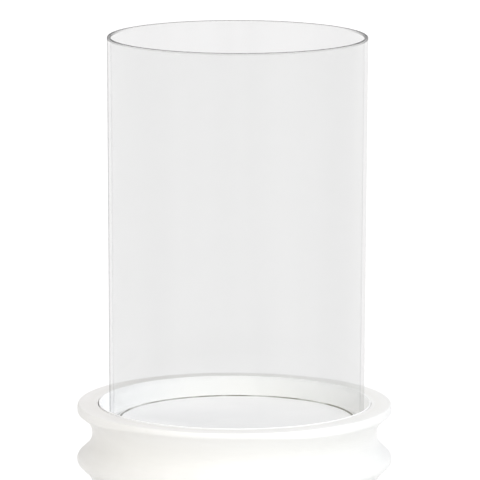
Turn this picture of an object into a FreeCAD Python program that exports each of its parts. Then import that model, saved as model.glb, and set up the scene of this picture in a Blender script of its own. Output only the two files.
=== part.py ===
"""Hurricane candle lantern: a clear open glass cylinder in the recess of a white, turned wooden drum.

The drum is a stack of turned sections, doweled together and clamped by a tie rod that runs from under the
recess to a plywood disc in the foot. A thin enamelled steel liner in the recess covers the rod's nut. The glass
stands on the liner, round a loose candle plate with a rolled edge.

Frame: millimetres, +Z up, origin on the drum's axis at the level the felt pads stand on, front towards -Y.
"""

import FreeCAD
import Part
import math
import os

# ---- driving dimensions -------------------------------------------------------------------------------
GLASS_TOP_RADIUS = 75.9  # the blown glass widens slightly from bottom to top
GLASS_BOTTOM_RADIUS = 74.7
GLASS_WALL = 2.0
GLASS_HEIGHT = 228.6
GLASS_LIP_ROUND = 0.7  # fire-polished rounding of the four rim edges
GLASS_OFFSET_X = 1.4  # the glass stands this far off centre, within its play in the recess

RIM_RADIUS = 92.5
RECESS_RADIUS = 80.2
RECESS_DEPTH = 12.9
RIM_SIDE = 5.1  # height of the rim's crowned edge
RIM_CROWN_DEPTH = 2.6  # where the crowned edge is widest, below the top face
RIM_TOP_INSET = 0.75  # how far in from its widest the crowned edge is at the top face
RIM_SIDE_INSET = 0.45  # and at its lower corner
RIM_CROWN_ROUND = 7.0
RIM_TOP_ROUND = 1.0
RIM_UNDER_ROUND = 1.2
RECESS_EDGE_ROUND = 0.5
RECESS_FLOOR_ROUND = 1.5
RIM_INNER_REACH = 4.0  # how far down the recess wall the rim's own outline runs

RIDGE_RADIUS = 92.5
RIDGE_ROUND = 3.9  # radius of the arc over a ridge
COVE_RADIUS = 83.6  # distance from the axis to the bottom of a cove
COVE_ROUND = 12.4  # radius of the arc in a cove
FIRST_COVE_DEPTH = 17.75  # bottom of the first cove, below the rim's top face
COVE_PITCH = 30.8
RIDGE_COUNT = 3

HOLLOW_RADIUS = 62.0
RECESS_FLOOR_THICKNESS = 18.0

ROD_RADIUS = 4.0
ROD_BORE_RADIUS = 4.5
ROD_CHAMFER = 1.0
NUT_ACROSS_FLATS = 13.0
NUT_HEIGHT = 6.5
NUT_BORE_RADIUS = 4.05
WASHER_OUTER_RADIUS = 12.0
WASHER_BORE_RADIUS = 4.3
WASHER_THICKNESS = 2.0
COUNTERBORE_RADIUS = 14.0
TOP_COUNTERBORE_DEPTH = 9.5
ROD_PROUD = 0.6  # how far the rod stands out of each nut

DOWEL_RADIUS = 3.0
DOWEL_LENGTH = 20.0
DOWEL_CHAMFER = 0.8
DOWEL_CIRCLE = 76.0
DOWEL_SIDE_GAP = 0.05
DOWEL_END_GAP = 0.5
DOWELS_PER_JOINT = 4

DISC_RADIUS = 71.0
DISC_THICKNESS = 12.0
DISC_GAP = 0.2
DISC_EDGE_ROUND = 0.5
DISC_COUNTERBORE_DEPTH = 5.0

PAD_RADIUS = 8.0
PAD_THICKNESS = 2.0
PAD_CIRCLE = 80.5
PAD_COUNT = 4
PAD_ROUND = 0.4

LINER_OUTER_RADIUS = 79.85
LINER_SHEET = 0.8
LINER_OFFSET_X = 0.2  # the liner sits this far off centre, within its play in the recess
LINER_PROUD = 0.4  # how far the liner's edge stands out of the rim's top face
LINER_EDGE_ROUND = 0.3
LINER_CORNER_ROUND = 1.8  # outer radius of the bend between its wall and its floor

PLATE_BEAD_CIRCLE = 69.3  # radius at which the middle of the plate's rolled edge runs
PLATE_BEAD_RADIUS = 1.3
PLATE_SHEET = 0.8
PLATE_GAP = 0.05  # between the rolled edge and the liner's floor

# ---- levels worked out from them, as depths below the rim's top face ----------------------------------
LAST_COVE_DEPTH = FIRST_COVE_DEPTH + RIDGE_COUNT * COVE_PITCH
DRUM_HEIGHT = LAST_COVE_DEPTH + FIRST_COVE_DEPTH
LINER_FLOOR_DEPTH = RECESS_DEPTH - LINER_SHEET
RIM_TOP_Z = PAD_THICKNESS + DRUM_HEIGHT
FLOOR_UNDERSIDE_DEPTH = RECESS_DEPTH + RECESS_FLOOR_THICKNESS
ROD_TOP_DEPTH = RECESS_DEPTH + TOP_COUNTERBORE_DEPTH - WASHER_THICKNESS - NUT_HEIGHT - ROD_PROUD
DISC_UNDERSIDE_DEPTH = LAST_COVE_DEPTH + DISC_THICKNESS
LOWER_SEAT_DEPTH = DISC_UNDERSIDE_DEPTH - DISC_COUNTERBORE_DEPTH
ROD_BOTTOM_DEPTH = LOWER_SEAT_DEPTH + WASHER_THICKNESS + NUT_HEIGHT + ROD_PROUD

AXIS = FreeCAD.Vector(0, 0, 1)
ORIGIN = FreeCAD.Vector(0, 0, 0)


def z_at(depth):
    """Height of a level given as a depth below the rim's top face."""
    return RIM_TOP_Z - depth


def point(radius, z):
    """A point of a half section, in the XZ plane."""
    return FreeCAD.Vector(radius, 0, z)


def line(start, end):
    return Part.LineSegment(start, end).toShape()


def arc_about(centre, radius, start_angle, end_angle):
    """An arc in the XZ plane, with angles in radians from +X towards +Z."""
    def at(angle):
        return centre + FreeCAD.Vector(radius * math.cos(angle), 0, radius * math.sin(angle))
    return Part.Arc(at(start_angle), at((start_angle + end_angle) / 2), at(end_angle)).toShape()


def rounded_path(corners):
    """Straight runs through (radius, z, rounding) corners, with a tangent arc wherever rounding isn't 0."""
    edges = []
    here = point(corners[0][0], corners[0][1])
    for index in range(1, len(corners)):
        corner = point(corners[index][0], corners[index][1])
        rounding = corners[index][2]
        if rounding == 0:
            edges.append(line(here, corner))
            here = corner
            continue
        following = point(corners[index + 1][0], corners[index + 1][1])
        back = (here - corner).normalize()
        ahead = (following - corner).normalize()
        half = back.getAngle(ahead) / 2
        reach = rounding / math.tan(half)
        middle = (back + ahead).normalize() * (rounding / math.sin(half) - rounding)
        edges.append(line(here, corner + back * reach))
        edges.append(Part.Arc(corner + back * reach, corner + middle, corner + ahead * reach).toShape())
        here = corner + ahead * reach
    return edges


def turned(edges):
    """The solid that a closed half section makes when it is turned about the axis."""
    wire = Part.Wire(Part.__sortEdges__(edges))
    solid = Part.Face(wire).revolve(ORIGIN, AXIS, 360)
    if solid.Volume < 0:
        solid.reverse()
    return solid


def turned_from_corners(corners):
    """A turned solid from (radius, z, rounding) corners. The first corner is square."""
    return turned(rounded_path(corners + [corners[0]]))


# ---- the moulding: cove arcs and ridge arcs, joined by the straight flanks that touch both --------------
COVE_CENTRE_R = COVE_RADIUS + COVE_ROUND
RIDGE_CENTRE_R = RIDGE_RADIUS - RIDGE_ROUND
CENTRES_ANGLE = math.atan2(COVE_PITCH / 2, COVE_CENTRE_R - RIDGE_CENTRE_R)
CENTRES_APART = math.hypot(COVE_PITCH / 2, COVE_CENTRE_R - RIDGE_CENTRE_R)
FLANK_ANGLE = CENTRES_ANGLE - math.acos((COVE_ROUND + RIDGE_ROUND) / CENTRES_APART)

# The rim's sloping underside touches the first cove's arc at this angle.
CORNER_R = RIM_RADIUS - RIM_SIDE_INSET - COVE_CENTRE_R
CORNER_Z = FIRST_COVE_DEPTH - RIM_SIDE
RIM_TOUCH_ANGLE = math.atan2(CORNER_Z, CORNER_R) + math.acos(COVE_ROUND / math.hypot(CORNER_R, CORNER_Z))


def cove_arc(cove_z, start_angle, end_angle):
    return arc_about(point(COVE_CENTRE_R, cove_z), COVE_ROUND, start_angle, end_angle)


def ridge_outline(upper_cove_z):
    """One section's outside, from the bottom of the cove above its ridge to the bottom of the one below."""
    above = cove_arc(upper_cove_z, math.pi, math.pi + FLANK_ANGLE)
    ridge_centre = point(RIDGE_CENTRE_R, upper_cove_z - COVE_PITCH / 2)
    ridge = arc_about(ridge_centre, RIDGE_ROUND, FLANK_ANGLE, -FLANK_ANGLE)
    below = cove_arc(upper_cove_z - COVE_PITCH, math.pi - FLANK_ANGLE, math.pi)
    upper_flank = line(above.Vertexes[-1].Point, ridge.Vertexes[0].Point)
    lower_flank = line(ridge.Vertexes[-1].Point, below.Vertexes[0].Point)
    return [above, upper_flank, ridge, lower_flank, below]


def rim_outline(inner_radius):
    """The rim's outside, from the bottom of the first cove over the rim's top to just inside its edge."""
    cove = cove_arc(z_at(FIRST_COVE_DEPTH), math.pi, RIM_TOUCH_ANGLE)
    start = cove.Vertexes[-1].Point
    return [cove] + rounded_path([
        (start.x, start.z, 0),
        (RIM_RADIUS - RIM_SIDE_INSET, z_at(RIM_SIDE), RIM_UNDER_ROUND),
        (RIM_RADIUS, z_at(RIM_CROWN_DEPTH), RIM_CROWN_ROUND),
        (RIM_RADIUS - RIM_TOP_INSET, z_at(0), RIM_TOP_ROUND),
        (inner_radius, z_at(0), RECESS_EDGE_ROUND),
        (inner_radius, z_at(RIM_INNER_REACH), 0),
    ])


# ---- drilled and bored features -----------------------------------------------------------------------
def cylinder(radius, z_low, z_high, x=0.0, y=0.0):
    return Part.makeCylinder(radius, z_high - z_low, FreeCAD.Vector(x, y, z_low))


def around(count, circle, first_angle_deg):
    """The (x, y) of places evenly spaced on a circle."""
    angles = [math.radians(first_angle_deg + 360.0 * k / count) for k in range(count)]
    return [(circle * math.cos(a), circle * math.sin(a)) for a in angles]


def joint_angle(joint):
    """Each joint's dowels are turned half a space from the last, so holes from both faces never meet."""
    return (joint % 2) * 180.0 / DOWELS_PER_JOINT


def dowel_holes(joint):
    """Blind holes for one joint's dowels, in both of the faces that meet there."""
    z = z_at(FIRST_COVE_DEPTH + joint * COVE_PITCH)
    reach = DOWEL_LENGTH / 2 + DOWEL_END_GAP
    places = around(DOWELS_PER_JOINT, DOWEL_CIRCLE, joint_angle(joint))
    return [cylinder(DOWEL_RADIUS + DOWEL_SIDE_GAP, z - reach, z + reach, x, y) for x, y in places]


# ---- the pieces ------------------------------------------------------------------------------------------
def cup_section():
    """The top of the drum: the rim, the recess for the glass, a thick floor and the first ridge."""
    bottom_z = z_at(FIRST_COVE_DEPTH + COVE_PITCH)
    floor_z = z_at(RECESS_DEPTH)
    seat_z = floor_z - TOP_COUNTERBORE_DEPTH
    underside_z = z_at(FLOOR_UNDERSIDE_DEPTH)
    inside = rounded_path([
        (RECESS_RADIUS, z_at(RIM_INNER_REACH), 0),
        (RECESS_RADIUS, floor_z, RECESS_FLOOR_ROUND),
        (COUNTERBORE_RADIUS, floor_z, 0),
        (COUNTERBORE_RADIUS, seat_z, 0),
        (ROD_BORE_RADIUS, seat_z, 0),
        (ROD_BORE_RADIUS, underside_z, 0),
        (HOLLOW_RADIUS, underside_z, 0),
        (HOLLOW_RADIUS, bottom_z, 0),
        (COVE_RADIUS, bottom_z, 0),
    ])
    body = turned(rim_outline(RECESS_RADIUS) + inside + ridge_outline(z_at(FIRST_COVE_DEPTH)))
    return body.cut(Part.makeCompound(dowel_holes(1)))


def ring_section(joint_above):
    """A plain turned ring with one ridge, between two joints."""
    top_z = z_at(FIRST_COVE_DEPTH + joint_above * COVE_PITCH)
    bottom_z = top_z - COVE_PITCH
    inside = rounded_path([
        (COVE_RADIUS, top_z, 0),
        (HOLLOW_RADIUS, top_z, 0),
        (HOLLOW_RADIUS, bottom_z, 0),
        (COVE_RADIUS, bottom_z, 0),
    ])
    body = turned(inside + ridge_outline(top_z))
    return body.cut(Part.makeCompound(dowel_holes(joint_above) + dowel_holes(joint_above + 1)))


def foot_ring():
    """The bottom of the drum: the rim's shape turned upside down, with a hole for the plywood disc."""
    cove_z = z_at(FIRST_COVE_DEPTH)
    inside = rounded_path([
        (DISC_RADIUS + DISC_GAP, z_at(RIM_INNER_REACH), 0),
        (DISC_RADIUS + DISC_GAP, cove_z, 0),
        (COVE_RADIUS, cove_z, 0),
    ])
    body = turned(rim_outline(DISC_RADIUS + DISC_GAP) + inside)
    middle_of_drum = point(0, z_at(DRUM_HEIGHT / 2))
    body.rotate(middle_of_drum, FreeCAD.Vector(1, 0, 0), 180)
    return body.cut(Part.makeCompound(dowel_holes(RIDGE_COUNT)))


def base_disc():
    """The plywood disc that the tie rod pulls up against the lowest ring."""
    top_z = z_at(LAST_COVE_DEPTH)
    bottom_z = z_at(DISC_UNDERSIDE_DEPTH)
    seat_z = z_at(LOWER_SEAT_DEPTH)
    return turned_from_corners([
        (ROD_BORE_RADIUS, top_z, 0),
        (DISC_RADIUS, top_z, 0),
        (DISC_RADIUS, bottom_z, DISC_EDGE_ROUND),
        (COUNTERBORE_RADIUS, bottom_z, 0),
        (COUNTERBORE_RADIUS, seat_z, 0),
        (ROD_BORE_RADIUS, seat_z, 0),
    ])


def dowels(joint):
    """One joint's dowels, each with chamfered ends."""
    z = z_at(FIRST_COVE_DEPTH + joint * COVE_PITCH)
    made = []
    for x, y in around(DOWELS_PER_JOINT, DOWEL_CIRCLE, joint_angle(joint)):
        pin = turned_from_corners([
            (0, z - DOWEL_LENGTH / 2, 0),
            (DOWEL_RADIUS - DOWEL_CHAMFER, z - DOWEL_LENGTH / 2, 0),
            (DOWEL_RADIUS, z - DOWEL_LENGTH / 2 + DOWEL_CHAMFER, 0),
            (DOWEL_RADIUS, z + DOWEL_LENGTH / 2 - DOWEL_CHAMFER, 0),
            (DOWEL_RADIUS - DOWEL_CHAMFER, z + DOWEL_LENGTH / 2, 0),
            (0, z + DOWEL_LENGTH / 2, 0),
        ])
        pin.translate(FreeCAD.Vector(x, y, 0))
        made.append(pin)
    return Part.makeCompound(made)


def tie_rod():
    top_z = z_at(ROD_TOP_DEPTH)
    bottom_z = z_at(ROD_BOTTOM_DEPTH)
    return turned_from_corners([
        (0, bottom_z, 0),
        (ROD_RADIUS - ROD_CHAMFER, bottom_z, 0),
        (ROD_RADIUS, bottom_z + ROD_CHAMFER, 0),
        (ROD_RADIUS, top_z - ROD_CHAMFER, 0),
        (ROD_RADIUS - ROD_CHAMFER, top_z, 0),
        (0, top_z, 0),
    ])


def washer(z_low):
    ring = cylinder(WASHER_OUTER_RADIUS, z_low, z_low + WASHER_THICKNESS)
    return ring.cut(cylinder(WASHER_BORE_RADIUS, z_low - 1, z_low + WASHER_THICKNESS + 1))


def hex_nut(z_low):
    """A hexagon nut with its corners turned off at both faces."""
    corner_radius = NUT_ACROSS_FLATS / 2 / math.cos(math.pi / 6)
    corners = [FreeCAD.Vector(x, y, z_low) for x, y in around(6, corner_radius, 0)]
    prism = Part.Face(Part.makePolygon(corners + corners[:1])).extrude(AXIS * NUT_HEIGHT)
    turned_off = corner_radius - NUT_ACROSS_FLATS / 2
    blank = turned_from_corners([
        (0, z_low, 0),
        (corner_radius - turned_off, z_low, 0),
        (corner_radius + turned_off, z_low + turned_off, 0),
        (corner_radius + turned_off, z_low + NUT_HEIGHT - turned_off, 0),
        (corner_radius - turned_off, z_low + NUT_HEIGHT, 0),
        (0, z_low + NUT_HEIGHT, 0),
    ])
    return prism.common(blank).cut(cylinder(NUT_BORE_RADIUS, z_low - 1, z_low + NUT_HEIGHT + 1))


def felt_pad(x, y):
    pad = turned_from_corners([
        (0, PAD_THICKNESS, 0),
        (PAD_RADIUS, PAD_THICKNESS, 0),
        (PAD_RADIUS, 0, PAD_ROUND),
        (0, 0, 0),
    ])
    pad.translate(FreeCAD.Vector(x, y, 0))
    return pad


def hurricane_glass():
    """The open glass tube, with its rim edges fire-polished round."""
    bottom_z = z_at(LINER_FLOOR_DEPTH)
    top_z = bottom_z + GLASS_HEIGHT
    tube = turned_from_corners([
        (GLASS_BOTTOM_RADIUS - GLASS_WALL / 2, bottom_z, 0),
        (GLASS_BOTTOM_RADIUS, bottom_z, GLASS_LIP_ROUND),
        (GLASS_TOP_RADIUS, top_z, GLASS_LIP_ROUND),
        (GLASS_TOP_RADIUS - GLASS_WALL, top_z, GLASS_LIP_ROUND),
        (GLASS_BOTTOM_RADIUS - GLASS_WALL, bottom_z, GLASS_LIP_ROUND),
    ])
    tube.translate(FreeCAD.Vector(GLASS_OFFSET_X, 0, 0))
    return tube


def recess_liner():
    """The thin steel dish that lines the recess, with its upright wall a little proud of the rim."""
    inner_r = LINER_OUTER_RADIUS - LINER_SHEET
    liner = turned_from_corners([
        (0, z_at(RECESS_DEPTH), 0),
        (LINER_OUTER_RADIUS, z_at(RECESS_DEPTH), LINER_CORNER_ROUND),
        (LINER_OUTER_RADIUS, z_at(-LINER_PROUD), LINER_EDGE_ROUND),
        (inner_r, z_at(-LINER_PROUD), LINER_EDGE_ROUND),
        (inner_r, z_at(LINER_FLOOR_DEPTH), LINER_CORNER_ROUND - LINER_SHEET),
        (0, z_at(LINER_FLOOR_DEPTH), 0),
    ])
    liner.translate(FreeCAD.Vector(LINER_OFFSET_X, 0, 0))
    return liner


def candle_plate():
    """The loose plate: a flat sheet with a round rolled edge that lifts it off the liner's floor."""
    bead_z = z_at(LINER_FLOOR_DEPTH) + PLATE_GAP + PLATE_BEAD_RADIUS
    sheet_low, sheet_high = bead_z - PLATE_SHEET / 2, bead_z + PLATE_SHEET / 2
    meeting = math.pi - math.asin(PLATE_SHEET / 2 / PLATE_BEAD_RADIUS)
    bead = arc_about(point(PLATE_BEAD_CIRCLE, bead_z), PLATE_BEAD_RADIUS, -meeting, meeting)
    low, high = bead.Vertexes[0].Point, bead.Vertexes[-1].Point
    plate = turned([
        line(point(0, sheet_low), low),
        bead,
        line(high, point(0, sheet_high)),
        line(point(0, sheet_high), point(0, sheet_low)),
    ])
    plate.translate(FreeCAD.Vector(GLASS_OFFSET_X, 0, 0))
    return plate


def all_nodes():
    top_washer_z = z_at(RECESS_DEPTH + TOP_COUNTERBORE_DEPTH)
    bottom_washer_z = z_at(LOWER_SEAT_DEPTH + WASHER_THICKNESS)
    nodes = {
        "hurricane_glass": hurricane_glass(),
        "candle_plate": candle_plate(),
        "recess_liner": recess_liner(),
        "cup_section": cup_section(),
        "upper_ring": ring_section(1),
        "lower_ring": ring_section(2),
        "foot_ring": foot_ring(),
        "base_disc": base_disc(),
        "tie_rod": tie_rod(),
        "top_washer": washer(top_washer_z),
        "top_nut": hex_nut(top_washer_z + WASHER_THICKNESS),
        "bottom_washer": washer(bottom_washer_z),
        "bottom_nut": hex_nut(bottom_washer_z - NUT_HEIGHT),
        "upper_dowels": dowels(1),
        "middle_dowels": dowels(2),
        "lower_dowels": dowels(3),
    }
    for number, (x, y) in enumerate(around(PAD_COUNT, PAD_CIRCLE, 45), start=1):
        nodes[f"felt_pad_{number}"] = felt_pad(x, y)
    return nodes


os.makedirs("parts", exist_ok=True)
for name, shape in all_nodes().items():
    shape.exportStep(f"parts/{name}.step")
    box = shape.BoundBox
    print(f"{name}: {len(shape.Solids)} solid(s), valid {shape.isValid()}, volume {shape.Volume:.0f} mm3, "
          f"z {box.ZMin:.2f} to {box.ZMax:.2f}")
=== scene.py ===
"""Looks of the hurricane candle lantern: a clear glass cylinder in a white turned drum, on a pale floor.

Lengths are metres in the CAD frame: +Z up, the drum's axis at x = y = 0, the front towards -Y.
"""

import math

import bmesh
import bpy
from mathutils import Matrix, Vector, noise


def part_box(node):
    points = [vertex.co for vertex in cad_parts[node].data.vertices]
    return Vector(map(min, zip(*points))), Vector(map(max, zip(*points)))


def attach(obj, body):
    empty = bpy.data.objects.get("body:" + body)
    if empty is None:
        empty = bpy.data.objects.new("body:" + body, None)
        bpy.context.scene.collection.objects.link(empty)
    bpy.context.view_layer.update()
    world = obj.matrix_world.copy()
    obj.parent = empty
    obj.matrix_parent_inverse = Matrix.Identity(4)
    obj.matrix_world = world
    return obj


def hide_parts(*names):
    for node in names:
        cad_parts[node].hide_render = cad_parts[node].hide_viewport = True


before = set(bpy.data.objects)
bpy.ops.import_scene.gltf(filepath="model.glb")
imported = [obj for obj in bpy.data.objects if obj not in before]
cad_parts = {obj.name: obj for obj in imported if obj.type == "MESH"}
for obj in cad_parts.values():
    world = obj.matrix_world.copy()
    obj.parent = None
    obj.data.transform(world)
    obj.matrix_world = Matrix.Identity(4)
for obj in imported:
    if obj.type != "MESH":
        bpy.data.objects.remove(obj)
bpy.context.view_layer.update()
MM = 0.001

# ---- sizes read from the frame ---------------------------------------------------------------------------
CUP_LOW, CUP_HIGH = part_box("cup_section")
GLASS_LOW, GLASS_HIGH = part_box("hurricane_glass")
PLATE_LOW, PLATE_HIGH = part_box("candle_plate")
LINER_LOW, LINER_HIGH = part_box("recess_liner")
FOOT_LOW, FOOT_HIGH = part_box("foot_ring")
DISC_LOW, DISC_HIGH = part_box("base_disc")
ROD_LOW, ROD_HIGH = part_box("tie_rod")
UPPER_RING_LOW, UPPER_RING_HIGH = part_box("upper_ring")

RIM_RADIUS = CUP_HIGH.x
RIM_TOP = CUP_HIGH.z
FLOOR_Z = LINER_LOW.z
GLASS_TOP_RADIUS = (GLASS_HIGH.x - GLASS_LOW.x) / 2
GLASS_X = (GLASS_HIGH.x + GLASS_LOW.x) / 2
PLATE_RADIUS = (PLATE_HIGH.x - PLATE_LOW.x) / 2
LINER_RADIUS = (LINER_HIGH.x - LINER_LOW.x) / 2
LINER_X = (LINER_HIGH.x + LINER_LOW.x) / 2
BEAD_RADIUS = (PLATE_HIGH.z - PLATE_LOW.z) / 2
COVE_PITCH = UPPER_RING_HIGH.z - UPPER_RING_LOW.z
FIRST_COVE_Z = UPPER_RING_HIGH.z + COVE_PITCH

# ---- sizes of the turned shape ---------------------------------------------------------------------------
RECESS_RADIUS = 80.2 * MM
RIM_SIDE = 5.1 * MM
RIM_CROWN_DEPTH = 2.6 * MM
RIM_TOP_INSET = 0.75 * MM
RIM_SIDE_INSET = 0.45 * MM
RIM_CROWN_ROUND = 7.0 * MM
RIM_TOP_ROUND = 1.0 * MM
RIM_UNDER_ROUND = 1.2 * MM
RECESS_EDGE_ROUND = 0.5 * MM
RECESS_FLOOR_ROUND = 1.5 * MM
RIDGE_ROUND = 3.9 * MM
COVE_RADIUS = 83.6 * MM
COVE_ROUND = 12.4 * MM
HOLLOW_RADIUS = 62.0 * MM
RECESS_FLOOR_THICKNESS = 18.0 * MM
COUNTERBORE_RADIUS = 14.0 * MM
COUNTERBORE_DEPTH = 9.5 * MM
COUNTERBORE_EDGE_ROUND = 0.3 * MM
ROD_BORE_RADIUS = 4.5 * MM
JOINT_CHAMFER = 0.35 * MM
JOINT_STEP = 0.02 * MM
EDGE_DEPTH = 4.0 * MM
DISC_GAP = 0.2 * MM
GLASS_BOTTOM_RADIUS = 74.7 * MM
GLASS_WALL = 2.0 * MM
GLASS_LIP_ROUND = 0.7 * MM
LINER_SHEET = 0.8 * MM
LINER_EDGE_ROUND = 0.3 * MM
LINER_CORNER_ROUND = 1.8 * MM
PLATE_SHEET = 0.8 * MM
THREAD_PITCH = 1.25 * MM
THREAD_DEPTH = 0.6 * MM
THREAD_END_CHAMFER = 1.0 * MM
PLY = 1.5 * MM
PAD_LOWER_ROUND = 0.6 * MM
PAD_UPPER_ROUND = 0.25 * MM
PAD_FUZZ = 0.12 * MM

# ---- how far hand work and blowing stray from the turned shape -------------------------------------------
WIDE_STRAY = 0.30 * MM
NARROW_STRAY = 0.07 * MM
RIM_STRAY = 0.22 * MM
GLASS_RIPPLE = 0.05 * MM
# The rim's lower edge is raised round this many degrees from the front, to the right: fully as far as the
# first spread to either side, and not at all beyond the second.
UNEVEN_RISE = 1.7 * MM
UNEVEN_AROUND = -15
UNEVEN_SPREADS = (20, 46)

# ---- colours of the materials, as linear red, green, blue and alpha --------------------------------------
PAINT = (0.80, 0.797, 0.78, 1)
PAINT_PALER = (0.84, 0.837, 0.825, 1)
# Painted shade at the bottoms of the coves.
PAINT_SHADED_IN_COVES = (0.78, 0.768, 0.735, 1)
PAINT_SPECK = (0.55, 0.50, 0.43, 1)
# Painted light: the paint is darker on the left and paler on the right.
PAINT_SHADED_ON_THE_LEFT = (0.99, 0.985, 0.98, 1)
PAINT_LIT_ON_THE_RIGHT = (1.06, 1.07, 1.07, 1)
GLASS_FRONT = (0.925, 0.929, 0.927, 1)
# Painted shade on the back of the glass.
GLASS_BACK_SHADED = (0.806, 0.810, 0.808, 1)
# Faint streaks in the glass, and painted light round its foot.
GLASS_STREAKS_AND_FOOT_LIGHT = (0.99, 0.99, 0.985, 1)
# Painted shade where the glass's wall is seen edge on.
GLASS_EDGE_ON_SHADE = (0.80, 0.802, 0.80, 1)
# Painted shade on the glass's left edge.
GLASS_LEFT_EDGE_SHADE = (0.48, 0.48, 0.48, 1)
# Painted shade on the glass's lips, lighter and deeper.
GLASS_LIP_SHADE = (0.80, 0.80, 0.795, 1)
GLASS_LIP_DEEP_SHADE = (0.07, 0.07, 0.07, 1)
LINER_ENAMEL = (0.945, 0.95, 0.95, 1)
LINER_ENAMEL_PALER = (0.96, 0.963, 0.955, 1)
PLATE_ENAMEL = (0.855, 0.862, 0.865, 1)
PLATE_ENAMEL_PALER = (0.895, 0.90, 0.90, 1)
# A painted shadow line on the plate's rolled edge.
PLATE_EDGE_PAINTED_SHADOW = (0.16, 0.16, 0.12, 1)
ZINC = (0.55, 0.56, 0.57, 1)
ZINC_PALER = (0.70, 0.71, 0.71, 1)
PLYWOOD = (0.62, 0.47, 0.30, 1)
PLYWOOD_DARKER = (0.50, 0.35, 0.20, 1)
BEECH = (0.60, 0.42, 0.27, 1)
BEECH_DARKER = (0.50, 0.33, 0.20, 1)
FELT = (0.13, 0.13, 0.125, 1)
FELT_PALER = (0.24, 0.235, 0.225, 1)
STUDIO_WHITE = (0.96, 0.96, 0.96, 1)
STUDIO_WHITE_THROWN_BACK = (0.90, 0.90, 0.89, 1)
STUDIO_GLOW = 0.06
FLOOR_HALF_WIDTH = 14.0

# ---- the camera, placed from the glass's axis and the rim's top ------------------------------------------
CAMERA_LENS = 399.6
CAMERA_ASIDE = 1.65 * MM
CAMERA_BACK = 3.071
CAMERA_ABOVE_RIM = 0.613
CAMERA_DOWN = math.radians(9.546)
CAMERA_ROLL = math.radians(0.12)

# ---- the studio's light ----------------------------------------------------------------------------------
# An even dome, and soft patches as (degrees round from the front to the right, degrees up, colour times
# strength).
DOME_LIGHT = (0.586, 0.591, 0.62)
PATCH_POWER = 4.0
SOFT_PATCHES = [
    (0, 18, (0.539, 0.558, 0.542)),
    (0, 50, (0.393, 0.367, 0.324)),
    (45, 18, (0.527, 0.559, 0.586)),
    (45, 50, (0.36, 0.343, 0.326)),
    (90, 18, (0.247, 0.272, 0.319)),
    (90, 50, (0.114, 0.092, 0.095)),
    (135, 18, (0.034, 0.04, 0.063)),
    (180, 18, (0.13, 0.124, 0.097)),
    (315, 18, (0.285, 0.29, 0.259)),
    (315, 50, (0.192, 0.159, 0.108)),
]

# ---- how finely meshes are cut ---------------------------------------------------------------------------
TURNED_STEPS = 288
GLASS_STEPS = 320
PAD_STEPS = 96
ROD_STEPS = 36
ROD_ROWS_PER_TURN = 8
LONGEST_RUN = 2.0 * MM
ARC_STEP = math.radians(9)
SHARPEST_SMOOTH_ANGLE = math.radians(40)
SAME_POINT = 1e-7


# ---- half sections ---------------------------------------------------------------------------------------
def arc(centre, radius, start, end):
    """Points on an arc in the (radius, z) plane. Angles are from outwards towards up."""
    count = max(3, math.ceil(abs(end - start) / ARC_STEP))
    angles = [start + (end - start) * k / count for k in range(count + 1)]
    return [Vector((centre[0] + radius * math.cos(a), centre[1] + radius * math.sin(a))) for a in angles]


def rounded_path(corners):
    """Points along straight runs through (radius, z, rounding) corners, with an arc at each rounded one."""
    path = [Vector(corners[0][:2])]
    for before, here, after in zip(corners, corners[1:], corners[2:] + [None]):
        corner = Vector(here[:2])
        rounding = here[2]
        if rounding == 0:
            path.append(corner)
            continue
        back = (Vector(before[:2]) - corner).normalized()
        ahead = (Vector(after[:2]) - corner).normalized()
        half = back.angle(ahead) / 2
        centre = corner + (back + ahead).normalized() * (rounding / math.sin(half))
        first = corner + back * (rounding / math.tan(half)) - centre
        last = corner + ahead * (rounding / math.tan(half)) - centre
        start = math.atan2(first.y, first.x)
        turn = (math.atan2(last.y, last.x) - start + math.pi) % (2 * math.pi) - math.pi
        path += arc(centre, rounding, start, start + turn)
    return path


def cut_long_runs(path):
    """The same closed path with every run longer than LONGEST_RUN divided evenly."""
    finer = []
    for start, end in zip(path, path[1:] + path[:1]):
        pieces = max(1, math.ceil((end - start).length / LONGEST_RUN))
        finer += [start.lerp(end, k / pieces) for k in range(pieces)]
    return finer


def without_repeats(path):
    """The same closed path with no point twice in a row."""
    kept = []
    for here in path:
        if not kept or (here - kept[-1]).length > SAME_POINT:
            kept.append(here)
    if (kept[0] - kept[-1]).length < SAME_POINT:
        kept.pop()
    return kept


COVE_CENTRE_R = COVE_RADIUS + COVE_ROUND
RIDGE_CENTRE_R = RIM_RADIUS - RIDGE_ROUND
CENTRES_OUT = COVE_CENTRE_R - RIDGE_CENTRE_R
FLANK_ANGLE = math.atan2(COVE_PITCH / 2, CENTRES_OUT) - math.acos(
    (COVE_ROUND + RIDGE_ROUND) / math.hypot(COVE_PITCH / 2, CENTRES_OUT))
CHAMFER_ANGLE = JOINT_CHAMFER / COVE_ROUND


def ridge_outline(upper_cove_z):
    """From just under the bottom of one cove, down over a ridge, to just above the bottom of the next."""
    lower_cove_z = upper_cove_z - COVE_PITCH
    ridge_z = upper_cove_z - COVE_PITCH / 2
    above = arc((COVE_CENTRE_R, upper_cove_z), COVE_ROUND, math.pi + CHAMFER_ANGLE, math.pi + FLANK_ANGLE)
    ridge = arc((RIDGE_CENTRE_R, ridge_z), RIDGE_ROUND, FLANK_ANGLE, -FLANK_ANGLE)
    below = arc((COVE_CENTRE_R, lower_cove_z), COVE_ROUND, math.pi - FLANK_ANGLE, math.pi - CHAMFER_ANGLE)
    return above + ridge + below


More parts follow.
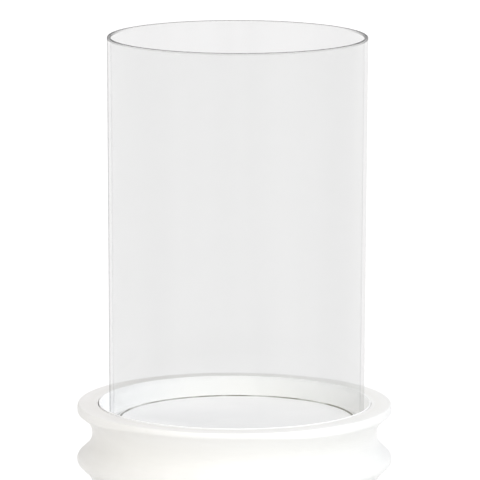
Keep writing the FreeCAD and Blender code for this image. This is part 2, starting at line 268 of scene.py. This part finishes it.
def rim_outline(cove_z, inner_radius, up):
    """From a cove's bottom, round a rim's crowned side and over its edge.

    up is 1 for the rim and -1 for the foot. The outline ends EDGE_DEPTH down the inner wall.
    """
    face_z = RIM_TOP if up > 0 else FOOT_LOW.z
    side_z = face_z - up * RIM_SIDE
    out, rise = RIM_RADIUS - RIM_SIDE_INSET - COVE_CENTRE_R, abs(side_z - cove_z)
    touch = math.atan2(rise, out) + math.acos(COVE_ROUND / math.hypot(out, rise))
    cove = arc((0, 0), COVE_ROUND, math.pi - CHAMFER_ANGLE, touch)
    cove = [Vector((COVE_CENTRE_R + p.x, cove_z + up * p.y)) for p in cove]
    edge = rounded_path([
        (cove[-1].x, cove[-1].y, 0),
        (RIM_RADIUS - RIM_SIDE_INSET, side_z, RIM_UNDER_ROUND),
        (RIM_RADIUS, face_z - up * RIM_CROWN_DEPTH, RIM_CROWN_ROUND),
        (RIM_RADIUS - RIM_TOP_INSET, face_z, RIM_TOP_ROUND),
        (inner_radius, face_z, RECESS_EDGE_ROUND),
        (inner_radius, face_z - up * EDGE_DEPTH, 0),
    ])
    return cove + edge


def chamfered_joint(z, inward):
    """The chamfered outer corner of a section at a joint.

    inward is 1 where the section is above the joint, and -1 where it is below.
    """
    outer = Vector((COVE_RADIUS + JOINT_STEP, z + inward * JOINT_CHAMFER))
    return [outer, Vector((COVE_RADIUS - JOINT_CHAMFER, z))]


def cup_half_section():
    """The top section: rim, recess, the tie rod's bore and counterbore, first cove and first ridge."""
    bottom = CUP_LOW.z
    seat = FLOOR_Z - COUNTERBORE_DEPTH
    underside = FLOOR_Z - RECESS_FLOOR_THICKNESS
    inside = rounded_path([
        (RECESS_RADIUS, RIM_TOP - EDGE_DEPTH, 0),
        (RECESS_RADIUS, FLOOR_Z, RECESS_FLOOR_ROUND),
        (COUNTERBORE_RADIUS, FLOOR_Z, COUNTERBORE_EDGE_ROUND),
        (COUNTERBORE_RADIUS, seat, 0),
        (ROD_BORE_RADIUS, seat, 0),
        (ROD_BORE_RADIUS, underside, 0),
        (HOLLOW_RADIUS, underside, 0),
        (HOLLOW_RADIUS, bottom, 0),
    ])
    outside = ridge_outline(FIRST_COVE_Z)
    path = rim_outline(FIRST_COVE_Z, RECESS_RADIUS, 1) + inside
    return path + chamfered_joint(bottom, 1)[::-1] + outside[::-1]


def ring_half_section(node):
    """One of the middle rings, from the bottom of one cove to the bottom of the next."""
    low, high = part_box(node)
    inside = [Vector((HOLLOW_RADIUS, high.z)), Vector((HOLLOW_RADIUS, low.z))]
    outside = ridge_outline(high.z)
    return inside + chamfered_joint(low.z, 1)[::-1] + outside[::-1] + chamfered_joint(high.z, -1)


def foot_half_section():
    """The foot: the rim's outline turned over, round the hole that the base disc sits in."""
    hole = DISC_HIGH.x + DISC_GAP
    top = FOOT_HIGH.z
    outline = rim_outline(top, hole, -1)
    return chamfered_joint(top, -1)[::-1] + outline + [Vector((hole, top))]


# ---- turning a half section into a mesh ------------------------------------------------------------------
def smooth(value, low, high):
    """0 at low and 1 at high, eased at both ends."""
    share = min(1.0, max(0.0, (value - low) / (high - low)))
    return share * share * (3 - 2 * share)


def hand_made(point):
    """The slight unevenness of hand turning and brushed paint, as a shift of a point of the drum."""
    around = Vector((point.x, point.y, 0))
    radius = around.length
    if radius < HOLLOW_RADIUS:
        return point
    wide = noise.noise(point * 11 + Vector((3.1, 7.7, 1.9)))
    narrow = noise.noise(point * 42 + Vector((9.2, 0.4, 5.3)))
    out = WIDE_STRAY * wide + NARROW_STRAY * narrow
    above_floor = min(1, max(0, (point.z - FLOOR_Z) / (RIM_TOP - FLOOR_Z)))
    lift = RIM_STRAY * above_floor * noise.noise(point * 14 + Vector((1.3, 4.8, 8.6)))
    edge = RIM_TOP - RIM_SIDE
    near_edge = smooth(point.z, RIM_TOP - 0.9 * MM, edge) * smooth(point.z, edge - 8 * MM, edge)
    off_middle = abs(math.degrees(math.atan2(point.x, -point.y)) - UNEVEN_AROUND)
    lift += UNEVEN_RISE * near_edge * smooth(off_middle, UNEVEN_SPREADS[1], UNEVEN_SPREADS[0])
    return point + around * (out / radius) + Vector((0, 0, lift))


def blown(point):
    """The faint waviness of drawn glass: long upright ripples, different on the two faces of the wall."""
    from_axis = Vector((point.x - GLASS_X, point.y, 0))
    height = (point.z - GLASS_LOW.z) / (GLASS_HIGH.z - GLASS_LOW.z)
    radius = GLASS_BOTTOM_RADIUS + (GLASS_TOP_RADIUS - GLASS_BOTTOM_RADIUS) * height
    face = 0 if from_axis.length > radius - GLASS_WALL / 2 else 5
    ripple = noise.noise(Vector((point.x * 45, point.y * 45, point.z * 5 + face)))
    return point + from_axis.normalized() * (GLASS_RIPPLE * ripple)


def lathe(name, path, steps, shift=None, x=0.0):
    """A closed solid turned about the upright line through x, as a smooth-shaded object."""
    path = cut_long_runs(without_repeats(path))
    bm = bmesh.new()
    rings = []
    for here in path:
        if here.x < SAME_POINT:
            rings.append([bm.verts.new((x, 0, here.y))] * steps)
            continue
        ring = []
        for k in range(steps):
            angle = 2 * math.pi * k / steps
            point = Vector((x + here.x * math.cos(angle), here.x * math.sin(angle), here.y))
            ring.append(bm.verts.new(shift(point) if shift else point))
        rings.append(ring)
    for a, b in zip(rings, rings[1:] + rings[:1]):
        for k in range(steps):
            j = (k + 1) % steps
            corners = [a[k], a[j], b[j], b[k]]
            corners = [v for i, v in enumerate(corners) if v not in corners[:i]]
            if len(corners) > 2:
                bm.faces.new(corners)
    bmesh.ops.recalc_face_normals(bm, faces=bm.faces)
    mesh = bpy.data.meshes.new(name)
    bm.to_mesh(mesh)
    bm.free()
    piece = bpy.data.objects.new(name, mesh)
    bpy.context.scene.collection.objects.link(piece)
    mesh.polygons.foreach_set("use_smooth", [True] * len(mesh.polygons))
    mesh.set_sharp_from_angle(angle=SHARPEST_SMOOTH_ANGLE)
    return piece


# ---- node helpers ----------------------------------------------------------------------------------------
def new_material(name):
    """A new material, its node tree and its shader."""
    material = bpy.data.materials.new(name)
    material.use_nodes = True
    return material, material.node_tree, material.node_tree.nodes["Principled BSDF"]


def add(tree, kind, inputs=None, **settings):
    """A new node with its settings and inputs. An input is a value, or an output to link from."""
    node = tree.nodes.new(kind)
    for key, value in settings.items():
        setattr(node, key, value)
    for key, value in (inputs or {}).items():
        if isinstance(value, bpy.types.NodeSocket):
            tree.links.new(value, node.inputs[key])
        else:
            node.inputs[key].default_value = value
    return node


def maths(tree, operation, first, second=0.0):
    return add(tree, "ShaderNodeMath", {0: first, 1: second}, operation=operation).outputs[0]


def vector_maths(tree, operation, inputs):
    return add(tree, "ShaderNodeVectorMath", inputs, operation=operation).outputs


def ramped(tree, value, low, high, to_low=0.0, to_high=1.0):
    """value taken smoothly from to_low at low to to_high at high."""
    inputs = {"Value": value, "From Min": low, "From Max": high, "To Min": to_low, "To Max": to_high}
    return add(tree, "ShaderNodeMapRange", inputs, interpolation_type="SMOOTHSTEP").outputs[0]


def colour_mix(tree, factor, first, second, blend="MIX"):
    inputs = {"Factor": factor, 6: first, 7: second}
    return add(tree, "ShaderNodeMix", inputs, data_type="RGBA", blend_type=blend).outputs[2]


def noise_at(tree, vector, scale, detail=2.0, rough=0.5):
    inputs = {"Vector": vector, "Scale": scale, "Detail": detail, "Roughness": rough}
    return add(tree, "ShaderNodeTexNoise", inputs).outputs["Fac"]


def place(tree):
    """Where a point is on its piece at rest."""
    return add(tree, "ShaderNodeTexCoord").outputs["Object"]


def stretched(tree, vector, scale):
    return add(tree, "ShaderNodeMapping", {"Vector": vector, "Scale": scale}).outputs[0]


def bump(tree, height, distance, normal=None):
    """Relief of the given depth, on top of normal if that is given."""
    inputs = {"Height": height, "Distance": distance, "Strength": 1.0}
    if normal:
        inputs["Normal"] = normal
    return add(tree, "ShaderNodeBump", inputs).outputs[0]


def turned_coordinates(tree):
    """(radius, height) of a point as a vector, so that a texture on it runs in rings round the axis."""
    parts = add(tree, "ShaderNodeSeparateXYZ", {0: place(tree)}).outputs
    squares = maths(tree, "ADD", maths(tree, "POWER", parts[0], 2), maths(tree, "POWER", parts[1], 2))
    radius = maths(tree, "SQRT", squares)
    rings = add(tree, "ShaderNodeCombineXYZ", {0: radius, 1: parts[2]}).outputs[0]
    return radius, rings


# ---- materials -------------------------------------------------------------------------------------------
def painted_wood():
    """White satin paint, brushed on over a filled and sanded turned surface, with painted shade in the
    coves and painted light growing from the left to the right.
    """
    material, tree, shader = new_material("white_painted_wood")
    here = place(tree)
    radius, rings = turned_coordinates(tree)
    broad = noise_at(tree, here, 16, 3)
    white = colour_mix(tree, ramped(tree, broad, 0.35, 0.65), PAINT, PAINT_PALER)
    # Painted shade: the paint is made darker and warmer at the bottoms of the coves.
    in_cove = ramped(tree, radius, COVE_RADIUS + 4.5 * MM, COVE_RADIUS)
    on_outside = ramped(tree, radius, COVE_RADIUS - 1.5 * MM, COVE_RADIUS - 0.5 * MM)
    cove_shade = maths(tree, "MULTIPLY", maths(tree, "MULTIPLY", in_cove, on_outside), 0.35)
    white = colour_mix(tree, cove_shade, white, PAINT_SHADED_IN_COVES)
    # Painted light: the paint is made darker to the left and paler to the right, as if lit more strongly
    # from the right.
    side = add(tree, "ShaderNodeSeparateXYZ", {0: here}).outputs[0]
    lit_to_the_right = ramped(tree, side, -85 * MM, 85 * MM)
    painted_light_across = colour_mix(tree, lit_to_the_right, PAINT_SHADED_ON_THE_LEFT, PAINT_LIT_ON_THE_RIGHT)
    white = colour_mix(tree, 1.0, white, painted_light_across, "MULTIPLY")
    specks = ramped(tree, noise_at(tree, here, 620, 1), 0.735, 0.775)
    white = colour_mix(tree, maths(tree, "MULTIPLY", specks, 0.10), white, PAINT_SPECK)
    tree.links.new(white, shader.inputs["Base Color"])
    roughness = ramped(tree, noise_at(tree, here, 60, 3), 0.3, 0.7, 0.36, 0.50)
    tree.links.new(roughness, shader.inputs["Roughness"])
    tool_lines = noise_at(tree, rings, 700, 2, 0.6)
    brush_marks = noise_at(tree, stretched(tree, here, (1, 1, 6)), 170, 3)
    film = noise_at(tree, here, 1500, 2)
    normal = bump(tree, tool_lines, 0.030 * MM)
    normal = bump(tree, brush_marks, 0.12 * MM, normal=normal)
    normal = bump(tree, film, 0.012 * MM, normal=normal)
    tree.links.new(normal, shader.inputs["Normal"])
    shader.inputs["Specular IOR Level"].default_value = 0.45
    return material


def radius_from(tree, parts, axis_x):
    """How far a point is from the upright axis at x = axis_x."""
    aside = maths(tree, "POWER", maths(tree, "SUBTRACT", parts[0], axis_x), 2)
    return maths(tree, "SQRT", maths(tree, "ADD", aside, maths(tree, "POWER", parts[1], 2)))


def clear_glass():
    """Clear glass with a wall so thin and even that it does not bend what is behind it.

    It is painted darker at the back than at the front, as shade, and painted clearer round the foot, as
    light on what is behind it; faint upright streaks make it clearer here and there. The wall's outer face
    is painted darker as shade where it is seen edge on, most of all on the left side. The lips are painted
    darker as shade, and dark where they are seen edge on and where they face up or down, the lower lip half
    as much. Diffuse and shadow rays go straight through.
    """
    material, tree, shader = new_material("clear_glass")
    here = place(tree)
    parts = add(tree, "ShaderNodeSeparateXYZ", {0: here}).outputs
    edge_on = add(tree, "ShaderNodeLayerWeight", {"Blend": 0.5}).outputs["Facing"]
    # Painted shade: the glass is made darker at the back than at the front.
    back = ramped(tree, parts[1], -30 * MM, 30 * MM)
    # Painted light: the glass is made clearer round the foot, so what is seen through it there looks
    # brighter.
    foot = ramped(tree, parts[2], RIM_TOP + 4 * MM, RIM_TOP - 2 * MM, 0, 0.50)
    streaks = ramped(tree, noise_at(tree, stretched(tree, here, (45, 45, 1.5)), 1, 3), 0.3, 0.7, 0, 0.12)

    tone = colour_mix(tree, back, GLASS_FRONT, GLASS_BACK_SHADED)
    tone = colour_mix(tree, maths(tree, "MAXIMUM", streaks, foot), tone, GLASS_STREAKS_AND_FOOT_LIGHT)
    from_axis = radius_from(tree, parts, GLASS_X)
    # Painted shade: the wall's outer face is made darker where it is seen edge on.
    outside = ramped(tree, from_axis, GLASS_BOTTOM_RADIUS - 0.5 * MM, GLASS_BOTTOM_RADIUS - 0.2 * MM)
    edge_on_shade = maths(tree, "MULTIPLY", outside, ramped(tree, edge_on, 0.70, 0.80))
    tone = colour_mix(tree, edge_on_shade, tone, GLASS_EDGE_ON_SHADE)
    # Painted shade: the outer face on the left side is made much darker where it is seen edge on.
    left_edge_shade = maths(tree, "MULTIPLY", ramped(tree, parts[0], -40 * MM, -66 * MM), outside)
    left_edge_shade = maths(tree, "MULTIPLY", left_edge_shade, ramped(tree, edge_on, 0.84, 0.95))
    tone = colour_mix(tree, left_edge_shade, tone, GLASS_LEFT_EDGE_SHADE)
    # Painted shade: the lips are made darker, and dark where seen edge on and where they face up or down.
    lip = ramped(tree, parts[2], GLASS_HIGH.z - 1.4 * MM, GLASS_HIGH.z - 1.0 * MM)
    lower_lip = ramped(tree, parts[2], GLASS_LOW.z + 1.2 * MM, GLASS_LOW.z + 0.8 * MM, 0, 0.5)
    lip = maths(tree, "MAXIMUM", lip, lower_lip)
    normal = add(tree, "ShaderNodeNewGeometry").outputs["Normal"]
    upward = maths(tree, "ABSOLUTE", add(tree, "ShaderNodeSeparateXYZ", {0: normal}).outputs[2])
    facing_up = ramped(tree, upward, 0.5, 0.9, 0, 0.85)
    lip_shade_mask = maths(tree, "MAXIMUM", ramped(tree, edge_on, 0.40, 0.95), facing_up)
    lip_painted_shade = colour_mix(tree, lip_shade_mask, GLASS_LIP_SHADE, GLASS_LIP_DEEP_SHADE)
    tone = colour_mix(tree, lip, tone, lip_painted_shade)
    tree.links.new(tone, shader.inputs["Base Color"])
    shader.inputs["Roughness"].default_value = 0.0
    shader.inputs["IOR"].default_value = 1.0
    shader.inputs["Transmission Weight"].default_value = 1.0

    shine = add(tree, "ShaderNodeBsdfGlossy", {"Color": (1, 1, 1, 1), "Roughness": 0.0}).outputs[0]
    shining = ramped(tree, edge_on, 0.35, 1.0, 0.02, 0.09)
    seen = add(tree, "ShaderNodeMixShader", {0: shining, 1: shader.outputs[0], 2: shine}).outputs[0]
    path = add(tree, "ShaderNodeLightPath").outputs
    unseen = maths(tree, "MAXIMUM", path["Is Shadow Ray"], path["Is Diffuse Ray"])
    through = add(tree, "ShaderNodeBsdfTransparent").outputs[0]
    both = add(tree, "ShaderNodeMixShader", {0: unseen, 1: seen, 2: through}).outputs[0]
    tree.links.new(both, tree.nodes["Material Output"].inputs["Surface"])
    return material


def enamel(name, first, second, least_rough, most_rough, shadow_ring_radius=None):
    """Enamel on steel, with the faint orange peel of a sprayed coat.

    A thin, patchy ring at the given radius from the glass's axis, if one is given, is painted dark as a
    shadow line.
    """
    material, tree, shader = new_material(name)
    here = place(tree)
    colour = colour_mix(tree, ramped(tree, noise_at(tree, here, 22, 3), 0.35, 0.65), first, second)
    # Painted shadow: a thin patchy dark ring along the rolled edge.
    if shadow_ring_radius:
        parts = add(tree, "ShaderNodeSeparateXYZ", {0: here}).outputs
        from_ring = maths(tree, "SUBTRACT", radius_from(tree, parts, GLASS_X), shadow_ring_radius)
        away = maths(tree, "ABSOLUTE", from_ring)
        patchy = ramped(tree, noise_at(tree, here, 45, 3), 0.30, 0.60, 0.35, 1.0)
        edge_shadow = maths(tree, "MULTIPLY", ramped(tree, away, 0.75 * MM, 0.35 * MM), patchy)
        colour = colour_mix(tree, edge_shadow, colour, PLATE_EDGE_PAINTED_SHADOW)
    tree.links.new(colour, shader.inputs["Base Color"])
    dulling = noise_at(tree, here, 24, 3)
    roughness = ramped(tree, dulling, 0.35, 0.65, least_rough, most_rough)
    tree.links.new(roughness, shader.inputs["Roughness"])
    tree.links.new(bump(tree, noise_at(tree, here, 260, 2), 0.006 * MM), shader.inputs["Normal"])
    return material


def zinc_plate():
    """Bright zinc on steel, slightly clouded and scratched."""
    material, tree, shader = new_material("zinc_plated_steel")
    here = place(tree)
    clouds = ramped(tree, noise_at(tree, here, 180, 4), 0.3, 0.7)
    colour = colour_mix(tree, clouds, ZINC, ZINC_PALER)
    tree.links.new(colour, shader.inputs["Base Color"])
    tree.links.new(ramped(tree, clouds, 0, 1, 0.40, 0.26), shader.inputs["Roughness"])
    scratches = noise_at(tree, stretched(tree, here, (200, 3000, 900)), 1, 2)
    tree.links.new(bump(tree, scratches, 0.02 * MM), shader.inputs["Normal"])
    shader.inputs["Metallic"].default_value = 1.0
    return material


def darker(colour, share):
    return tuple(share * part for part in colour[:3]) + (1,)


def wood(name, light, dark, layers=False):
    """Straight-grained wood along X. With layers, plies show as bands wherever the surface is upright."""
    material, tree, shader = new_material(name)
    here = place(tree)
    grain = noise_at(tree, stretched(tree, here, (12, 150, 150)), 1, 5, 0.6)
    pores = noise_at(tree, stretched(tree, here, (160, 2600, 2600)), 1, 2)
    tone = ramped(tree, grain, 0.3, 0.7)
    colour = colour_mix(tree, tone, light, dark)
    if layers:
        height = add(tree, "ShaderNodeSeparateXYZ", {0: here}).outputs[2]
        band = maths(tree, "PINGPONG", maths(tree, "SUBTRACT", height, DISC_LOW.z), PLY)
        normal = add(tree, "ShaderNodeNewGeometry").outputs["Normal"]
        upward = maths(tree, "ABSOLUTE", add(tree, "ShaderNodeSeparateXYZ", {0: normal}).outputs[2])
        facing = ramped(tree, upward, 0.7, 0.3)
        ply = maths(tree, "MULTIPLY", ramped(tree, band, 0.6 * MM, 0.9 * MM), facing)
        colour = colour_mix(tree, ply, colour, darker(dark, 0.6))
    colour = colour_mix(tree, ramped(tree, pores, 0.62, 0.70, 0, 0.35), colour, darker(dark, 0.5))
    tree.links.new(colour, shader.inputs["Base Color"])
    tree.links.new(ramped(tree, grain, 0.3, 0.7, 0.48, 0.62), shader.inputs["Roughness"])
    tree.links.new(bump(tree, pores, 0.05 * MM), shader.inputs["Normal"])
    return material


def felt():
    """Pressed grey felt."""
    material, tree, shader = new_material("grey_felt")
    here = place(tree)
    fibres = noise_at(tree, here, 1400, 4, 0.7)
    colour = colour_mix(tree, ramped(tree, fibres, 0.3, 0.7), FELT, FELT_PALER)
    tree.links.new(colour, shader.inputs["Base Color"])
    shader.inputs["Roughness"].default_value = 0.95
    shader.inputs["Sheen Weight"].default_value = 0.4
    tree.links.new(bump(tree, fibres, 0.25 * MM), shader.inputs["Normal"])
    return material


def give(piece, material):
    piece.data.materials.clear()
    piece.data.materials.append(material)


# ---- the camera ------------------------------------------------------------------------------------------
def make_camera():
    """A long lens, looking down at the lantern a little, with the drum's foot below the picture."""
    data = bpy.data.cameras.new("camera")
    data.sensor_width = 36.0
    data.lens = CAMERA_LENS
    data.clip_end = 60.0
    camera = bpy.data.objects.new("camera", data)
    camera.location = (GLASS_X + CAMERA_ASIDE, -CAMERA_BACK, RIM_TOP + CAMERA_ABOVE_RIM)
    camera.rotation_mode = "ZXY"
    camera.rotation_euler = (math.pi / 2 - CAMERA_DOWN, 0, CAMERA_ROLL)
    bpy.context.scene.collection.objects.link(camera)
    bpy.context.scene.camera = camera


# ---- the pieces ------------------------------------------------------------------------------------------
def make_drum(paint):
    """The four turned and painted sections, from the rim down to the foot."""
    sections = {
        "cup_section": cup_half_section(),
        "upper_ring": ring_half_section("upper_ring"),
        "lower_ring": ring_half_section("lower_ring"),
        "foot_ring": foot_half_section(),
    }
    for node, half_section in sections.items():
        piece = lathe("turned_" + node, half_section, TURNED_STEPS, hand_made)
        give(piece, paint)
        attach(piece, "base")
        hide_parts(node)


def make_glass(material):
    """The open cylinder, a little wider at the top, with rounded lips. It is smooth-shaded all over."""
    path = rounded_path([
        (GLASS_BOTTOM_RADIUS - GLASS_WALL / 2, GLASS_LOW.z, 0),
        (GLASS_BOTTOM_RADIUS, GLASS_LOW.z, GLASS_LIP_ROUND),
        (GLASS_TOP_RADIUS, GLASS_HIGH.z, GLASS_LIP_ROUND),
        (GLASS_TOP_RADIUS - GLASS_WALL, GLASS_HIGH.z, GLASS_LIP_ROUND),
        (GLASS_BOTTOM_RADIUS - GLASS_WALL, GLASS_LOW.z, GLASS_LIP_ROUND),
        (GLASS_BOTTOM_RADIUS - GLASS_WALL / 2, GLASS_LOW.z, 0),
    ])
    piece = lathe("glass_cylinder", path, GLASS_STEPS, blown, GLASS_X)
    piece.data.set_sharp_from_angle(angle=math.radians(180))
    give(piece, material)
    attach(piece, "glass")
    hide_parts("hurricane_glass")


def make_liner(material):
    """The thin steel dish in the recess. It follows the wood's unevenness."""
    inner = LINER_RADIUS - LINER_SHEET
    floor_top = LINER_LOW.z + LINER_SHEET
    path = rounded_path([
        (0, LINER_LOW.z, 0),
        (LINER_RADIUS, LINER_LOW.z, LINER_CORNER_ROUND),
        (LINER_RADIUS, LINER_HIGH.z, LINER_EDGE_ROUND),
        (inner, LINER_HIGH.z, LINER_EDGE_ROUND),
        (inner, floor_top, LINER_CORNER_ROUND - LINER_SHEET),
        (0, floor_top, 0),
    ])
    piece = lathe("enamelled_recess_liner", path, TURNED_STEPS, hand_made, LINER_X)
    give(piece, material)
    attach(piece, "base")
    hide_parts("recess_liner")


def make_plate(material):
    """The loose plate: a flat sheet with a round rolled edge."""
    middle_z = (PLATE_LOW.z + PLATE_HIGH.z) / 2
    meeting = math.pi - math.asin(PLATE_SHEET / 2 / BEAD_RADIUS)
    bead = arc((PLATE_RADIUS - BEAD_RADIUS, middle_z), BEAD_RADIUS, -meeting, meeting)
    path = [Vector((0, middle_z - PLATE_SHEET / 2))] + bead + [Vector((0, middle_z + PLATE_SHEET / 2))]
    piece = lathe("enamelled_candle_plate", path, TURNED_STEPS, None, GLASS_X)
    give(piece, material)
    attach(piece, "plate")
    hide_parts("candle_plate")


def make_rod(material):
    """The tie rod with its thread, as one closed spiral surface with flat ends."""
    steps = ROD_STEPS
    radius = ROD_HIGH.x
    rows = round((ROD_HIGH.z - ROD_LOW.z) / THREAD_PITCH * ROD_ROWS_PER_TURN)
    bm = bmesh.new()
    rings = []
    for row in range(rows + 1):
        z = ROD_LOW.z + (ROD_HIGH.z - ROD_LOW.z) * row / rows
        from_end = min(z - ROD_LOW.z, ROD_HIGH.z - z)
        ring = []
        for k in range(steps):
            turn = (z / THREAD_PITCH - k / steps) % 1.0
            depth = THREAD_DEPTH * (1 - abs(2 * turn - 1))
            here = min(radius - depth, radius - THREAD_END_CHAMFER + from_end)
            angle = 2 * math.pi * k / steps
            ring.append(bm.verts.new((here * math.cos(angle), here * math.sin(angle), z)))
        rings.append(ring)
    for a, b in zip(rings, rings[1:]):
        for k in range(steps):
            bm.faces.new([a[k], a[(k + 1) % steps], b[(k + 1) % steps], b[k]])
    bm.faces.new(rings[0])
    bm.faces.new(rings[-1])
    bmesh.ops.recalc_face_normals(bm, faces=bm.faces)
    mesh = bpy.data.meshes.new("threaded_rod")
    bm.to_mesh(mesh)
    bm.free()
    piece = bpy.data.objects.new("threaded_rod", mesh)
    bpy.context.scene.collection.objects.link(piece)
    give(piece, material)
    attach(piece, "base")
    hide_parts("tie_rod")


def make_felt_pads(material):
    """The four pads under the foot, with slightly fuzzy edges."""
    for number in range(1, 5):
        node = f"felt_pad_{number}"
        low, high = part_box(node)
        radius = (high.x - low.x) / 2
        centre = (low + high) / 2
        path = rounded_path([
            (0, low.z, 0),
            (radius, low.z, PAD_LOWER_ROUND),
            (radius, high.z, PAD_UPPER_ROUND),
            (0, high.z, 0),
        ])

        def fuzzy(point):
            out = Vector((point.x, point.y, 0))
            edge = PAD_FUZZ * noise.noise(point * 900 + Vector((number, 0, 0)))
            return point + out.normalized() * edge if out.length > 0.8 * radius else point

        pad = lathe(node + "_felt", path, PAD_STEPS, fuzzy)
        pad.data.transform(pad.matrix_world.Translation((centre.x, centre.y, 0)))
        give(pad, material)
        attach(pad, "base")
        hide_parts(node)


def finish_cad_nodes(zinc, plywood, beech):
    """Materials for the nodes that keep their CAD shape."""
    for node in ("top_washer", "top_nut", "bottom_washer", "bottom_nut"):
        give(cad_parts[node], zinc)
    for node in ("upper_dowels", "middle_dowels", "lower_dowels"):
        give(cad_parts[node], beech)
    give(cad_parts["base_disc"], plywood)


# ---- the studio ------------------------------------------------------------------------------------------
def make_floor():
    """A plain floor that glows faintly, and is a little darker in the light it throws back."""
    mesh = bpy.data.meshes.new("studio_floor")
    half = FLOOR_HALF_WIDTH
    corners = [(-half, -half, 0), (half, -half, 0), (half, half, 0), (-half, half, 0)]
    mesh.from_pydata(corners, [], [(0, 1, 2, 3)])
    floor = bpy.data.objects.new("studio_floor", mesh)
    bpy.context.scene.collection.objects.link(floor)
    material, tree, shader = new_material("studio_white")
    thrown_back = add(tree, "ShaderNodeLightPath").outputs["Is Diffuse Ray"]
    white = colour_mix(tree, thrown_back, STUDIO_WHITE, STUDIO_WHITE_THROWN_BACK)
    tree.links.new(white, shader.inputs["Base Color"])
    shader.inputs["Roughness"].default_value = 0.9
    shader.inputs["Specular IOR Level"].default_value = 0.1
    shader.inputs["Emission Color"].default_value = (1, 1, 1, 1)
    glow = ramped(tree, thrown_back, 0, 1, STUDIO_GLOW, 0)
    tree.links.new(glow, shader.inputs["Emission Strength"])
    give(floor, material)


def make_light():
    """An even pale dome with soft patches of extra light on it, strongest to the front and the right."""
    world = bpy.data.worlds.new("studio")
    bpy.context.scene.world = world
    world.use_nodes = True
    tree = world.node_tree
    looking = add(tree, "ShaderNodeTexCoord").outputs["Generated"]
    light = add(tree, "ShaderNodeRGB").outputs[0]
    light.default_value = DOME_LIGHT + (1,)
    for around, above, colour in SOFT_PATCHES:
        a, e = math.radians(around), math.radians(above)
        towards = (math.sin(a) * math.cos(e), -math.cos(a) * math.cos(e), math.sin(e))
        facing = vector_maths(tree, "DOT_PRODUCT", {0: looking, 1: towards})[1]
        patch = maths(tree, "POWER", maths(tree, "MAXIMUM", facing, 0.0), PATCH_POWER)
        tinted = vector_maths(tree, "SCALE", {0: colour, "Scale": patch})[0]
        light = vector_maths(tree, "ADD", {0: light, 1: tinted})[0]
    tree.links.new(light, tree.nodes["Background"].inputs["Color"])


def main():
    make_camera()
    make_floor()
    make_light()
    make_drum(painted_wood())
    make_glass(clear_glass())
    make_liner(enamel("enamelled_liner", LINER_ENAMEL, LINER_ENAMEL_PALER, 0.30, 0.42))
    # The plate's dark ring is a painted shadow line along its rolled edge.
    shadow_ring = PLATE_RADIUS - BEAD_RADIUS - 0.5 * MM
    make_plate(enamel("enamelled_plate", PLATE_ENAMEL, PLATE_ENAMEL_PALER, 0.28, 0.38, shadow_ring))
    zinc = zinc_plate()
    make_rod(zinc)
    make_felt_pads(felt())
    plywood = wood("birch_plywood", PLYWOOD, PLYWOOD_DARKER, layers=True)
    beech = wood("beech", BEECH, BEECH_DARKER)
    finish_cad_nodes(zinc, plywood, beech)
    bpy.context.scene.view_settings.view_transform = "Standard"


main()
